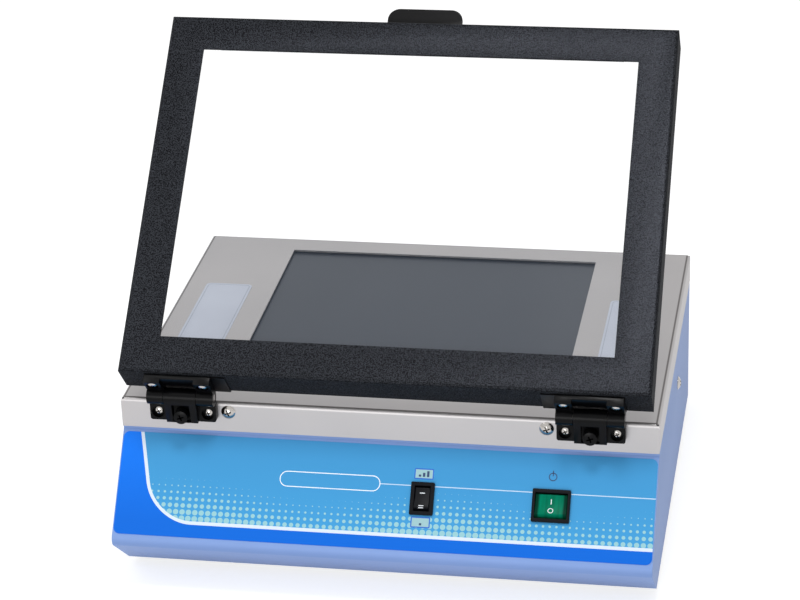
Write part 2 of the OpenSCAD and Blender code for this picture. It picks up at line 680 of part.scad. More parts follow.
module inlet_screws() color("#c8c8cc") on_rear(inlet_x, inlet_z) at_inlet_screws() {
  translate([0, 0, INLET_T - M3_HEAD_H]) screw(M3_HEAD_R, M3_HEAD_H, M3_R, INLET_SHANK, CROSS_W);
  translate([0, 0, -base_t - M3_NUT_H]) nut(M3_NUT_R, M3_R, M3_NUT_H);
}
// Drawer that slides out towards the back, with its fuse lying across it
module fuse_drawer() color("#1f2022") on_rear(inlet_x, inlet_z) translate([0, -DRAWER_DOWN, INLET_T]) {
  body_d = DRAWER_DEPTH - 0.6;
  difference() {
    union() {
      translate([-DRAWER_W / 2, -DRAWER_L / 2, -body_d]) cube([DRAWER_W, DRAWER_L, body_d]);
      translate([0, 0, 0.6]) cube([DRAWER_W + 1.6, DRAWER_L + 1, 1.2], center = true);
    }
    translate([-DRAWER_W / 2 + 1, -DRAWER_L / 2 + 1, -DRAWER_DEPTH + 2])
      cube([DRAWER_W - 2, DRAWER_L, DRAWER_DEPTH - 4]);
    translate([-4, -DRAWER_L / 2 - 1, 0.5]) cube([8, 2.4, 2]);
  }
}
module fuse() color("#d8dde0") on_rear(inlet_x, inlet_z)
  translate([0, -DRAWER_DOWN - DRAWER_L / 2 + 1 + 2.5, INLET_T - DRAWER_DEPTH / 2]) rotate([0, 90, 0]) {
    cylinder(h = DRAWER_W - 8, r = 2.2, center = true);
    for (s = SIDES) translate([0, 0, s * (DRAWER_W / 2 - 3.5)])
      cylinder(h = 5 - EPS, r = 2.5, center = true);
  }

// Cooling fan inside the rear wall, its wire guard outside
module at_fan_screws() for (sx = SIDES, sy = SIDES)
  translate([sx * fan_w * 0.4, sy * fan_w * 0.4, 0]) children();
module fan_frame() color("#1b1c1e") on_rear(-fan_x, fan_z) translate([0, 0, -base_t - fan_t]) difference() {
  union() {
    difference() {
      linear_extrude(fan_t) round_rect(fan_w, fan_w, 3);
      translate([0, 0, -1]) cylinder(h = fan_t + 2, d = fan_w - 2.6);
    }
    cylinder(h = 4, r = FAN_HUB_R);
    for (a = [0:90:270]) rotate([0, 0, a + 30]) translate([0, -1.2, 0]) cube([fan_w / 2 - 1, 2.4, 2.5]);
  }
  at_fan_screws() translate([0, 0, -1]) cylinder(h = fan_t + 2, r = M3_R + HOLE_FIT);
  translate([0, 0, 1]) cylinder(h = 5, r = 1.5 + run_fit);
}
module fan_rotor() color("#26272a") on_rear(-fan_x, fan_z) translate([0, 0, -base_t - fan_t]) {
  difference() {
    translate([0, 0, 4.6]) cylinder(h = fan_t - 6.6, r = FAN_HUB_R);
    translate([0, 0, 4.5]) cylinder(h = fan_t - 9, r = FAN_HUB_R - 1.5);
  }
  translate([0, 0, 1.3]) cylinder(h = fan_t - 5, r = 1.5);
  intersection() {
    translate([0, 0, 5]) difference() {
      cylinder(h = fan_t - 7.5, r = fan_w / 2 - 2);
      translate([0, 0, -1]) cylinder(h = fan_t, r = FAN_HUB_R - 0.5);
    }
    for (i = [0:6]) rotate([0, 0, i * 360 / 7])
      translate([FAN_HUB_R - 1, 0, fan_t / 2 + 1]) rotate([48, 0, 0])
        translate([0, -8, -0.6]) cube([fan_w / 2, 16, 1.2]);
  }
}
module fan_guard() {
  wire_r = 0.8;
  color("#c9c9cc") on_rear(-fan_x, fan_z) {
    for (i = [1:GUARD_RINGS]) translate([0, 0, guard_lift])
      rotate_extrude() translate([i * guard_pitch, 0]) circle(wire_r, $fn = 16);
    for (a = [45, 135]) rotate([0, 0, a]) translate([0, 0, guard_lift - wire_r]) rotate([0, 90, 0])
      cylinder(h = fan_w * 0.8 * sqrt(2) - 4, r = wire_r, center = true, $fn = 16);
    at_fan_screws() difference() {
      cylinder(h = guard_lift, r = 3.4);
      translate([0, 0, -1]) cylinder(h = CUT / 4, r = M3_R + HOLE_FIT);
    }
  }
}
module fan_screws() color("#c8c8cc") on_rear(-fan_x, fan_z) at_fan_screws() {
  translate([0, 0, guard_lift])
    screw(M3_HEAD_R, M3_HEAD_H, M3_R, fan_t + base_t + guard_lift + M3_NUT_H, CROSS_W);
  translate([0, 0, -base_t - fan_t - M3_NUT_H]) nut(M3_NUT_R, M3_R, M3_NUT_H);
}

// Ultraviolet tubes in their end caps and sockets, over a folded reflector tray
module uv_tubes() color("#e8ecf6") at_tubes() rotate([0, 90, 0]) difference() {
  cylinder(h = tube_l - CAP_L, d = tube_d - 0.8, center = true);
  cylinder(h = tube_l - CAP_L - 2, d = tube_d - 2.6, center = true);
}
module tube_caps() color("#c2c5c9") at_tubes() for (s = SIDES) rotate([0, s * 90, 0]) {
  translate([0, 0, tube_l / 2 - CAP_L]) difference() {
    cylinder(h = CAP_L, d = tube_d);
    translate([0, 0, -1]) cylinder(h = CAP_L / 2 + 1 + EPS, d = tube_d - 0.7);
  }
  for (p = SIDES) translate([0, p * tube_pin_y, tube_l / 2 - EPS]) cylinder(h = 7, r = tube_pin_r);
}
module lamp_sockets() color("#e9e9e4") at_tubes() for (s = SIDES)
  translate([s * (tube_l / 2 + SEAT_FIT + socket_t / 2), 0, 0]) difference() {
    union() {
      rotate([0, 90, 0]) cylinder(h = socket_t, r = socket_w / 2 - 1, center = true);
      translate([-socket_t / 2, -socket_w / 2 + 1, -tray_drop + tray_t])
        cube([socket_t, socket_w - 2, tray_drop - tray_t]);
    }
    for (p = SIDES) translate([0, p * tube_pin_y, 0]) rotate([0, 90, 0])
      cylinder(h = CUT / 2, r = tube_pin_r + HOLE_FIT, center = true);
  }
module reflector_tray() color("#dfe2e6") difference() {
  translate([0, mid_y, tray_z + tray_h]) mirror([0, 0, 1]) pan(tray_w, tray_d, tray_h, tray_t, 2);
  at_side_screws() cylinder(h = CUT / 2, r = M4_R + run_fit, center = true);
  at_posts() translate([0, 0, tray_z]) cylinder(h = CUT / 4, r = M3_R + HOLE_FIT, center = true);
}
// Four pillars that carry the tray, each with its two screws
module tray_posts() {
  post_h = tray_z - floor_z;
  color("#c8c8cc") at_posts() {
    translate([0, 0, floor_z]) cylinder(h = post_h, r = 4.5, $fn = 6);
    translate([0, 0, tray_z + tray_t]) screw(M3_HEAD_R, M3_HEAD_H, M3_R, tray_t + 1, CROSS_W);
    translate([0, 0, foot_h]) mirror([0, 0, 1]) screw(M3_HEAD_R, M3_HEAD_H, M3_R, bottom_t + 1, CROSS_W);
  }
}

// Electronic ballasts, terminal block and earth stud on the bottom plate
module at_ballast_screws() for (s = SIDES)
  translate([s * (ballast_l - ballast_foot) / 2, 0, 0]) children();
module ballasts() color("#d9dbde") at_ballasts() difference() {
  union() {
    soft_block(ballast_l - 2 * ballast_foot, ballast_w, ballast_h, 2);
    translate([0, 0, 1]) cube([ballast_l, ballast_w * 0.6, 2], center = true);
  }
  at_ballast_screws() cylinder(h = CUT / 4, r = M3_R + HOLE_FIT, center = true);
}
module ballast_screws() color("#c8c8cc") at_ballasts() at_ballast_screws() {
  translate([0, 0, 2]) screw(M3_HEAD_R, M3_HEAD_H, M3_R, bottom_t + M3_NUT_H + 2.5, CROSS_W);
  translate([0, 0, -bottom_t - M3_NUT_H]) nut(M3_NUT_R, M3_R, M3_NUT_H);
}
module terminal_block() color("#e6e3d6") translate([TERMINAL_X, TERMINAL_Y, floor_z]) {
  difference() {
    translate([-TERMINAL_L / 2, -TERMINAL_W / 2, 0]) cube([TERMINAL_L, TERMINAL_W, TERMINAL_H]);
    for (sy = SIDES) translate([-TERMINAL_L / 2 - 1, sy * TERMINAL_W / 2 - 2.5, TERMINAL_H / 2])
      cube([TERMINAL_L + 2, 5, TERMINAL_H]);
    for (i = [0:4]) translate([(i - 2) * TERMINAL_PITCH, 0, TERMINAL_H - 4])
      cylinder(h = 5, r = 2.2);
    for (s = SIDES) translate([s * (TERMINAL_L / 2 - 4), 0, -1]) cylinder(h = CUT, r = M3_R + HOLE_FIT);
  }
  for (s = SIDES) translate([s * (TERMINAL_L / 2 - 4), 0, TERMINAL_H])
    screw(M3_HEAD_R, M3_HEAD_H, M3_R, TERMINAL_H + bottom_t + 2);
}
module earth_stud() color("#c9b26a") translate([EARTH_X, EARTH_Y, floor_z]) {
  translate([0, 0, -bottom_t]) cylinder(h = 14, r = M4_R);
  for (z = [0, 4]) translate([0, 0, z]) difference() {
    cylinder(h = 3.2, r = 4, $fn = 6);
    translate([0, 0, -1]) cylinder(h = 6, r = M4_R - EPS);
  }
}

// Lid: a deep painted pan with a window
module lid_frame() color("#2b2c30") lid_pose() difference() {
  translate([0, lid_y + lid_d / 2, lid_top - lid_h]) pan(lid_w, lid_d, lid_h, lid_t, lid_r);
  translate([0, lid_y + lid_d / 2, lid_top]) cube([window_w, window_d, CUT], center = true);
  for (s = SIDES) at_leaf_screws(s, 1) cylinder(h = CUT / 2, r = M3_R + HOLE_FIT, center = true);
  at_tab_screws() rotate([90, 0, 0]) cylinder(h = CUT / 4, r = M3_R + HOLE_FIT, center = true);
}
module lid_pane() color("#dfe9ee", 0.35) lid_pose()
  translate([0, lid_y + lid_d / 2, pane_z + pane_t / 2]) cube([pane_w, pane_d, pane_t], center = true);
// Two folded strips that press the pane up against the frame
module pane_strips() color("#3a3b3f") lid_pose() for (sy = SIDES) difference() {
  translate([0, lid_y + lid_d / 2 + sy * (window_d / 2 + pane_lap + SEAT_FIT), lid_top - lid_t])
    along_x(strip_l) polygon([for (p = [
      [strip_foot, 0], [0, 0], [0, -pane_t], [-strip_w, -pane_t], [-strip_w, -pane_t - strip_t],
      [strip_t, -pane_t - strip_t], [strip_t, -strip_t], [strip_foot, -strip_t]]) [sy * p[0], p[1]]]);
  at_strip_screws() cylinder(h = CUT / 4, r = M3_R + HOLE_FIT, center = true);
}
module strip_screws() color("#c8c8cc") lid_pose() at_strip_screws() mirror([0, 0, 1])
  translate([0, 0, strip_t]) screw(M3_HEAD_R, M3_HEAD_H, M3_R, strip_t - EPS, CROSS_W);
// Finger tab: a folded plate screwed to the lid's rear wall
module lid_tab() color("#17181a") lid_pose() difference() {
  translate([0, lid_y + lid_d, lid_top - tab_drop - tab_t]) {
    linear_extrude(tab_t) hump(tab_w, tab_out, tab_r);
    translate([-tab_w / 2, 0, -tab_foot]) cube([tab_w, tab_t, tab_foot + EPS]);
  }
  at_tab_screws() rotate([90, 0, 0]) cylinder(h = CUT / 4, r = M3_R + HOLE_FIT, center = true);
}
module tab_screws() color("#c8c8cc") lid_pose() at_tab_screws() {
  translate([0, tab_t, 0]) rotate([-90, 0, 0])
    screw(M3_HEAD_R, M3_HEAD_H, M3_R, tab_t + lid_t + M3_NUT_H + 0.5, CROSS_W);
  translate([0, -lid_t, 0]) rotate([90, 0, 0]) nut(M3_NUT_R, M3_R, M3_NUT_H);
}

// Torque hinges. The middle knuckle is split by the screw that sets its grip.
module base_leaf(side) color("#17181a") at_hinge(side) difference() {
  union() {
    translate([0, axis_out, -knuckle_r - 0.4]) rotate([90, 0, 0]) mirror([0, 1, 0])
      linear_extrude(leaf_t) hump(hinge_w, leaf_l - knuckle_r - 0.4, leaf_corner);
    along_x(block_w) polygon([[web_back, 0], -knuckle_r * [cos(BLOCK_LEAN), sin(BLOCK_LEAN)],
                              [block_front, -leaf_l], [web_back, -leaf_l]]);
    rotate([0, 90, 0]) cylinder(h = knuckle_w, r = knuckle_r, center = true);
    translate([-knuckle_w / 2, 0, -knuckle_r - 1]) cube([knuckle_w, web_back, knuckle_r + 1]);
  }
  rotate([0, 90, 0]) cylinder(h = hinge_w, r = pin_r + run_fit, center = true);
  translate([-block_w / 2 + BLOCK_RIB, -CUT / 2, -leaf_l + BLOCK_RIM])
    cube([block_w - 2 * BLOCK_RIB, CUT / 2 + leaf_front, leaf_l - BLOCK_RIM - block_top]);
  translate([0, 0, -leaf_screw_l]) rotate([90, 0, 0])
    cylinder(h = CUT, r = TORQUE_SHANK_R + run_fit, center = true);
  leaf_holes(-1, counterbore);
}
// Two counterbored holes through a leaf
module leaf_holes(end, depth) for (s = SIDES)
  translate([s * leaf_screw_w / 2, 0, end * leaf_screw_l]) rotate([90, 0, 0]) {
    cylinder(h = CUT, r = M3_R + HOLE_FIT, center = true);
    translate([0, 0, -leaf_front - depth]) cylinder(h = CUT, r = counterbore_r);
  }
module lid_leaf(side) color("#17181a") lid_pose() at_hinge(side) difference() {
  union() {
    for (s = SIDES) {
      translate([s * (hinge_w - side_knuckle_w) / 2, 0, 0]) {
        translate([knuckle_gap * s, 0, 0]) rotate([0, 90, 0])
          cylinder(h = side_knuckle_w - 2 * knuckle_gap, r = knuckle_r, center = true);
        translate([-side_knuckle_w / 2 + knuckle_gap * (1 + s), leaf_front, 0])
          cube([side_knuckle_w - 2 * knuckle_gap, leaf_t, leaf_l]);
      }
    }
    translate([-hinge_w / 2 + 3, axis_out - 2.5, knuckle_r + 1])
      cube([hinge_w - 6, 2.5, leaf_l - knuckle_r - 1]);
  }
  rotate([0, 90, 0]) cylinder(h = hinge_w + 2, r = pin_r + EPS, center = true);
  leaf_holes(1, lid_counterbore);
}
module hinge_pin(side) color("#8a8c90") lid_pose() at_hinge(side) rotate([0, 90, 0])
  cylinder(h = hinge_w, r = pin_r, center = true);
module torque_screw(side) color("#141416") at_hinge(side) translate([0, leaf_front - 1.8, -leaf_screw_l])
  rotate([90, 0, 0]) screw(TORQUE_HEAD_R, TORQUE_HEAD_H, TORQUE_SHANK_R, leaf_t + 1, BIG_CROSS_W, FLAT);

module left_base_leaf() base_leaf(-1);
module left_lid_leaf() lid_leaf(-1);
module left_hinge_pin() hinge_pin(-1);
module left_torque_screw() torque_screw(-1);
module right_base_leaf() base_leaf(1);
module right_lid_leaf() lid_leaf(1);
module right_hinge_pin() hinge_pin(1);
module right_torque_screw() torque_screw(1);

// Screws through the leaves, with the plates they are tapped into
module base_leaf_screws() color("#d4d2cf") for (s = SIDES) at_leaf_screws(s, -1)
  translate([0, 0, leaf_t - counterbore])
    screw(M3_HEAD_R, M3_HEAD_H, M3_R, leaf_t - counterbore + wall_in + base_t + backing_t, CROSS_W);
module lid_leaf_screws() color("#d4d2cf") lid_pose() for (s = SIDES) at_leaf_screws(s, 1)
  translate([0, 0, leaf_t - lid_counterbore])
    screw(M3_HEAD_R, M3_HEAD_H, M3_R, leaf_t - lid_counterbore + spacer_t + lid_t + backing_t, CROSS_W);
module base_backing_plates() color("#b9bcc0") for (s = SIDES) difference() {
  translate([s * hinge_x - backing_w / 2, face_y + base_t, axis_z - leaf_screw_l - base_backing_h + 3])
    cube([backing_w, backing_t, base_backing_h]);
  at_leaf_screws(s, -1) cylinder(h = CUT, r = M3_R + run_fit, center = true);
}
module lid_backing_plates() color("#2b2c30") lid_pose() for (s = SIDES) difference() {
  translate([s * hinge_x - backing_w / 2, lid_y + lid_t, axis_z + leaf_screw_l - lid_backing_h + 5])
    cube([backing_w, backing_t, lid_backing_h]);
  at_leaf_screws(s, 1) cylinder(h = CUT, r = M3_R + run_fit, center = true);
}
// Thin plates between the hinges and the lid, longer than the hinges on their inner sides
module hinge_spacers() color("#17181a") lid_pose() for (s = SIDES) difference() {
  translate([s * (hinge_x - spacer_tail / 2) - (hinge_w + spacer_tail) / 2, lip_y, lid_top - lid_h])
    cube([hinge_w + spacer_tail, spacer_t, lid_h - 4]);
  at_leaf_screws(s, 1) cylinder(h = CUT, r = M3_R + HOLE_FIT, center = true);
}

base_housing();
bottom_plate();
feet();
foot_screws();
bottom_screws();
top_cover();
cover_screws();
side_screws();
filter_glass();
filter_gasket();
filter_retainer();
retainer_studs();
panel_film();
intensity_switch();
intensity_rocker();
intensity_terminals();
power_switch();
power_rocker();
power_terminals();
mains_inlet();
inlet_pins();
inlet_screws();
fuse_drawer();
fuse();
fan_frame();
fan_rotor();
fan_guard();
fan_screws();
uv_tubes();
tube_caps();
lamp_sockets();
reflector_tray();
tray_posts();
ballasts();
ballast_screws();
terminal_block();
earth_stud();
lid_frame();
lid_pane();
pane_strips();
strip_screws();
lid_tab();
tab_screws();
hinge_spacers();
lid_backing_plates();
base_backing_plates();
left_base_leaf();
left_lid_leaf();
left_hinge_pin();
left_torque_screw();
right_base_leaf();
right_lid_leaf();
right_hinge_pin();
right_torque_screw();
base_leaf_screws();
lid_leaf_screws();
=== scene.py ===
"""Bench-top ultraviolet transilluminator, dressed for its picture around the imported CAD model.

Metres, in the CAD model's frame: X to the right, Y to the back, Z up from the bench.
"""

import json
import math

import bmesh
import bpy
from mathutils import Matrix, Vector


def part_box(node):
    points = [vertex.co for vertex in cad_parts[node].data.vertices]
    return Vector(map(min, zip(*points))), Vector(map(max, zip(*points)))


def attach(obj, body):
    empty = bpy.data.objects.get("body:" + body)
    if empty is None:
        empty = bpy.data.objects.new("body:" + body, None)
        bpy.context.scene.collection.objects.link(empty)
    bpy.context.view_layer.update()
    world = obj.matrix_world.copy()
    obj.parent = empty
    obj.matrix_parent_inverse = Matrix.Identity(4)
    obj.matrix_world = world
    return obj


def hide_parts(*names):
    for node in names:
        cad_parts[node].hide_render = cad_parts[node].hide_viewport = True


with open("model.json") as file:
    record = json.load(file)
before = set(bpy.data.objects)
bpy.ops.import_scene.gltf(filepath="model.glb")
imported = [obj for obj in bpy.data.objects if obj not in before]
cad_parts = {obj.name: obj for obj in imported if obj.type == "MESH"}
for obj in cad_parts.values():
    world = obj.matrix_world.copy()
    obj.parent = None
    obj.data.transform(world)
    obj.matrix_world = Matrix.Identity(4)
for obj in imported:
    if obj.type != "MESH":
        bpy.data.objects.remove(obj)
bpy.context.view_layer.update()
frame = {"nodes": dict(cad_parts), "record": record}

# ---------------------------------------------------------------------------
# Table, backdrop, lamps and camera. The instrument stands on a white table in a
# white studio, lit softly from above and in front.
# ---------------------------------------------------------------------------


def linear(hex_colour):
    """The linear colour, fully opaque, of an sRGB hex value."""
    channels = [int(hex_colour[i : i + 2], 16) / 255 for i in (1, 3, 5)]
    return [c / 12.92 if c <= 0.04045 else ((c + 0.055) / 1.055) ** 2.4 for c in channels] + [1.0]


def add_node(tree, kind, inputs=(), **settings):
    """Adds a shader node with its settings, and gives each input a value or a link."""
    node = tree.nodes.new("ShaderNode" + kind)
    for name, value in settings.items():
        setattr(node, name, value)
    for key, value in dict(inputs).items():
        if isinstance(value, bpy.types.Node):
            value = next(output for output in value.outputs if output.enabled)
        if isinstance(value, bpy.types.NodeSocket):
            tree.links.new(value, node.inputs[key])
        else:
            node.inputs[key].default_value = value
    return node


def seen_directly(tree):
    """1 for camera rays and for what shows in metal and glass, 0 for light on the object."""
    path = add_node(tree, "LightPath")
    glossy, through = path.outputs["Is Glossy Ray"], path.outputs["Is Transmission Ray"]
    mirrored = add_node(tree, "Math", {0: glossy, 1: through}, operation="MAXIMUM")
    straight = path.outputs["Is Camera Ray"]
    return add_node(tree, "Math", {0: straight, 1: mirrored}, operation="MAXIMUM")


STUDIO_WHITE = "#ffffff"
# Strength of the room's light on the object, where the room itself shows as 1
AMBIENT = 0.56

world = bpy.data.worlds.new("white_studio")
bpy.context.scene.world = world
world.use_nodes = True
tree = world.node_tree
tree.nodes.clear()
seen = seen_directly(tree)
strength = add_node(tree, "MapRange", {"Value": seen, "To Min": AMBIENT, "To Max": 1.0})
air = add_node(tree, "Background", {"Color": linear(STUDIO_WHITE), "Strength": strength})
add_node(tree, "OutputWorld", {"Surface": air})

TABLE_SIZE = 14.0
# What lights the object is plain white paint. What is seen is darker paint with a glow of its
# own, which comes out as white as the room and keeps only a faint shadow.
TABLE_ALBEDO = 0.8
TABLE_SEEN_ALBEDO = 0.5
TABLE_SEEN_GLOW = 0.72

bpy.ops.object.select_all(action="DESELECT")
bpy.ops.mesh.primitive_plane_add(size=TABLE_SIZE)
table = bpy.context.object
table.name = "table"
# Matt white paint: even, with no shine
paint = bpy.data.materials.new("matt_white_table")
paint.use_nodes = True
tree = paint.node_tree
tree.nodes.clear()
seen = seen_directly(tree)
albedo = add_node(
    tree, "MapRange", {"Value": seen, "To Min": TABLE_ALBEDO, "To Max": TABLE_SEEN_ALBEDO}
)
glow = add_node(tree, "MapRange", {"Value": seen, "To Min": 0.0, "To Max": TABLE_SEEN_GLOW})
matt = add_node(tree, "BsdfDiffuse", {"Color": albedo})
lit = add_node(tree, "Emission", {"Color": linear(STUDIO_WHITE), "Strength": glow})
both = add_node(tree, "AddShader", {0: matt, 1: lit})
add_node(tree, "OutputMaterial", {"Surface": both})
table.data.materials.append(paint)

# Name, place, target, size and power of each lamp
LAMPS = [
    ("key_lamp", (-0.95, -0.65, 1.5), (0, 0, 0.1), 0.7, 4.5),
    ("sheen_lamp", (0.1, -0.42, 1.5), (0.1, -0.05, 0.2), 0.32, 8.5),
    ("front_lamp", (-0.3, -1.9, 0.32), (0, -0.1, 0.05), 0.7, 10.0),
]
for name, place, target, size, power in LAMPS:
    lamp = bpy.data.lights.new(name, "AREA")
    lamp.size = size
    lamp.energy = power
    lamp_object = bpy.data.objects.new(name, lamp)
    lamp_object.location = place
    aim = Vector(target) - Vector(place)
    lamp_object.rotation_euler = aim.to_track_quat("-Z", "Y").to_euler()
    bpy.context.collection.objects.link(lamp_object)

CAMERA_PLACE = Vector((0.28865, -1.57412, 0.90501))
CAMERA_YAW = math.radians(10.685)
CAMERA_PITCH = math.radians(25.436)
CAMERA_ROLL = math.radians(2.089)
SENSOR_WIDTH = 36
FOCAL_LENGTH = 120.68
FURTHEST_SEEN = 100

lens = bpy.data.cameras.new("photograph_view")
lens.sensor_width = SENSOR_WIDTH
lens.lens = FOCAL_LENGTH
lens.clip_end = FURTHEST_SEEN
camera = bpy.data.objects.new("photograph_view", lens)
bpy.context.collection.objects.link(camera)
camera.matrix_world = (
    Matrix.Translation(CAMERA_PLACE)
    @ Matrix.Rotation(CAMERA_YAW, 4, "Z")
    @ Matrix.Rotation(math.pi / 2 - CAMERA_PITCH, 4, "X")
    @ Matrix.Rotation(-CAMERA_ROLL, 4, "Z")
)
bpy.context.scene.camera = camera
bpy.context.scene.view_settings.view_transform = "Standard"

# ---------------------------------------------------------------------------
# Housing. Steel sheet 1.2 mm thick, folded and welded, with a lavender-blue
# stoved enamel that leaves every fold softly round. A bare galvanised plate on
# four rubber feet closes it underneath.
# ---------------------------------------------------------------------------

MM = 0.001
bodies = frame["record"]["behaviour"]["bodies"]
BODY_OF = {node: body for body, nodes in bodies.items() for node in nodes}
SLOT_OF = {part["node"]: part["material_slot"] for part in frame["record"]["subparts"]}


def new_finish(name, **values):
    """A material with a principled shader whose uniform values are set on its sockets."""
    material = bpy.data.materials.new(name)
    material.use_nodes = True
    shader = material.node_tree.nodes["Principled BSDF"]
    for key, value in values.items():
        shader.inputs[key.replace("_", " ")].default_value = value
    return material, material.node_tree, shader


def at_mm(tree, stretch=(1, 1, 1)):
    """Object coordinates in millimetres, stretched for a pattern with a direction."""
    place = add_node(tree, "TexCoord").outputs["Object"]
    scale = [1000 * s for s in stretch]
    return add_node(tree, "Mapping", {"Vector": place, "Scale": scale})


def roughen(tree, shader, vector, grain_mm, height_mm, detail=3.0):
    """Raises and dimples a surface with grains of the given size and height."""
    grain = add_node(
        tree, "TexNoise", {"Vector": vector, "Scale": 1 / grain_mm, "Detail": detail}
    )
    bump = add_node(
        tree, "Bump", {"Height": grain, "Distance": height_mm * MM, "Strength": 1.0}
    )
    tree.links.new(bump.outputs[0], shader.inputs["Normal"])
    return grain


def vary(tree, shader, vector, patch_mm, colours):
    """Clouds a surface between two colours in patches of the given size."""
    cloud = add_node(tree, "TexNoise", {"Vector": vector, "Scale": 1 / patch_mm, "Detail": 4.0})
    ends = {"Factor": cloud, "A": linear(colours[0]), "B": linear(colours[1])}
    mix = add_node(tree, "Mix", ends, data_type="RGBA")
    tree.links.new(mix.outputs["Result"], shader.inputs["Base Color"])
    return mix


def paint_nodes(nodes, material):
    """Gives CAD nodes their finish."""
    for node in nodes:
        mesh = frame["nodes"][node].data
        mesh.materials.clear()
        mesh.materials.append(material)


# A copy's points nearer than this are one, and faces flatter than this are one
SAME_POINT = 0.002 * MM
SAME_FLAT = math.radians(0.5)
# Edges bent by more than this are rounded, and shading is smooth over less than this
SHARP_FROM = math.radians(30)
SMOOTH_UP_TO = math.radians(40)


def edge_rounded(node, radius, material, least=6 * MM):
    """Stands a copy of a CAD node in its place, its sharp edges longer than least rounded."""
    source = frame["nodes"][node]
    bpy.ops.object.select_all(action="DESELECT")
    copy = bpy.data.objects.new(node + "_finished", source.data.copy())
    bpy.context.collection.objects.link(copy)
    copy.select_set(True)
    bpy.context.view_layer.objects.active = copy
    copy.data.materials.clear()
    copy.data.materials.append(material)
    bpy.ops.mesh.customdata_custom_splitnormals_clear()
    bpy.ops.object.mode_set(mode="EDIT")
    bpy.ops.mesh.select_all(action="SELECT")
    bpy.ops.mesh.remove_doubles(threshold=SAME_POINT)
    bpy.ops.mesh.dissolve_limited(angle_limit=SAME_FLAT)
    bpy.ops.mesh.select_all(action="DESELECT")
    bpy.ops.mesh.select_mode(type="EDGE")
    shape = bmesh.from_edit_mesh(copy.data)
    for edge in shape.edges:
        sharp = len(edge.link_faces) == 2 and edge.calc_face_angle() > SHARP_FROM
        edge.select = sharp and edge.calc_length() > least
    bmesh.update_edit_mesh(copy.data)
    bpy.ops.mesh.bevel(offset=radius, segments=3, affect="EDGES", clamp_overlap=True)
    bpy.ops.object.mode_set(mode="OBJECT")
    bpy.ops.object.shade_smooth_by_angle(angle=SMOOTH_UP_TO)
    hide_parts(node)
    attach(copy, BODY_OF[node])


# Stoved enamel: an even lavender-blue with a wide soft shine, broken a little by the orange
# peel that such paint dries with, in waves 1.6 mm long
enamel, tree, shader = new_finish(
    "stoved_enamel_lavender_blue", Roughness=0.5, Specular_IOR_Level=0.25
)
here = at_mm(tree)
vary(tree, shader, here, 60, ("#7895cb", "#819dd4"))
roughen(tree, shader, here, 1.6, 0.02)
edge_rounded("base_housing", 1.1 * MM, enamel)

# Galvanised sheet: dull grey metal, clouded by zinc spangles of 7 mm
galvanised, tree, shader = new_finish("galvanised_sheet_spangled", Metallic=1.0, Roughness=0.45)
here = at_mm(tree)
vary(tree, shader, here, 7, ("#84878d", "#a3a6ab"))
roughen(tree, shader, here, 2.0, 0.02)
paint_nodes(["bottom_plate", "base_backing_plates"], galvanised)

# Moulded rubber: matt charcoal with hardly any shine. Its grain, really about 0.1 mm, is
# drawn at 0.5 mm so that it shows.
rubber, tree, shader = new_finish("moulded_black_rubber", Roughness=0.75)
here = at_mm(tree)
vary(tree, shader, here, 4, ("#17171a", "#222226"))
roughen(tree, shader, here, 0.5, 0.03)
paint_nodes(["feet"], rubber)

# ---------------------------------------------------------------------------
# Stainless cover, a shallow pan over the housing. Cold-rolled sheet with a dull,
# faintly streaked finish, folded down on four sides and held by domed screws.
# ---------------------------------------------------------------------------

# A painted shade of the fold shows on the top as a dark line. In millimetres: how far in from the
# cover's edge it runs, how far to each side it is full and has faded out, and how deep below the
# top it is drawn.
FOLD_SHADE_IN = 2.0
FOLD_SHADE_CORE = 0.3
FOLD_SHADE_FADED = 0.8
FOLD_SHADE_DEPTH = 0.6
FOLD_SHADE_STRENGTH = 0.75

cover_low, cover_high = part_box("top_cover")
cover_middle = (cover_low + cover_high) / 2 / MM
cover_half = (cover_high - cover_low) / 2 / MM

# Dull stainless: grey metal with wide soft reflections, and a painted shade along each fold as a
# dark line. Its rolling lines, really about 0.05 mm wide, are drawn 0.7 mm wide so that they show.
stainless, tree, shader = new_finish("stainless_sheet_dull", Metallic=1.0, Roughness=0.48)
here = at_mm(tree)
plain_sheet = vary(tree, shader, here, 90, ("#a9a7a8", "#b7b4b4"))
centred = add_node(tree, "VectorMath", {0: here, 1: cover_middle}, operation="SUBTRACT")
outwards = add_node(tree, "VectorMath", {0: centred}, operation="ABSOLUTE")
inset = add_node(tree, "VectorMath", {0: cover_half, 1: outwards}, operation="SUBTRACT")
inset = add_node(tree, "SeparateXYZ", {0: inset}).outputs
inwards = add_node(tree, "Math", {0: inset["X"], 1: inset["Y"]}, operation="MINIMUM")
past_line = add_node(tree, "Math", {0: inwards, 1: FOLD_SHADE_IN}, operation="SUBTRACT")
off_line = add_node(tree, "Math", {0: past_line}, operation="ABSOLUTE")
line = add_node(
    tree,
    "MapRange",
    {
        "Value": off_line,
        "From Min": FOLD_SHADE_CORE,
        "From Max": FOLD_SHADE_FADED,
        "To Min": FOLD_SHADE_STRENGTH,
        "To Max": 0.0,
    },
)
height = add_node(tree, "SeparateXYZ", {0: here}).outputs["Z"]
top_from = cover_high.z / MM - FOLD_SHADE_DEPTH
on_top = add_node(tree, "Math", {0: height, 1: top_from}, operation="GREATER_THAN")
fold_shade_on_top = add_node(tree, "Math", {0: line, 1: on_top}, operation="MULTIPLY")
# Painted shade: the dark line along each fold on the top
shades = {"Factor": fold_shade_on_top, "A": plain_sheet, "B": linear("#3d3836")}
folded = add_node(tree, "Mix", shades, data_type="RGBA")
tree.links.new(folded.outputs["Result"], shader.inputs["Base Color"])
roughen(tree, shader, at_mm(tree, (0.03, 1, 1)), 0.7, 0.004)
paint_nodes(["top_cover"], stainless)

# Shelter from the open, as ambient occlusion, up to which the plating's painted shade is full and
# from which it is gone
FULL_SHADE_UP_TO = 0.45
NO_SHADE_FROM = 0.95
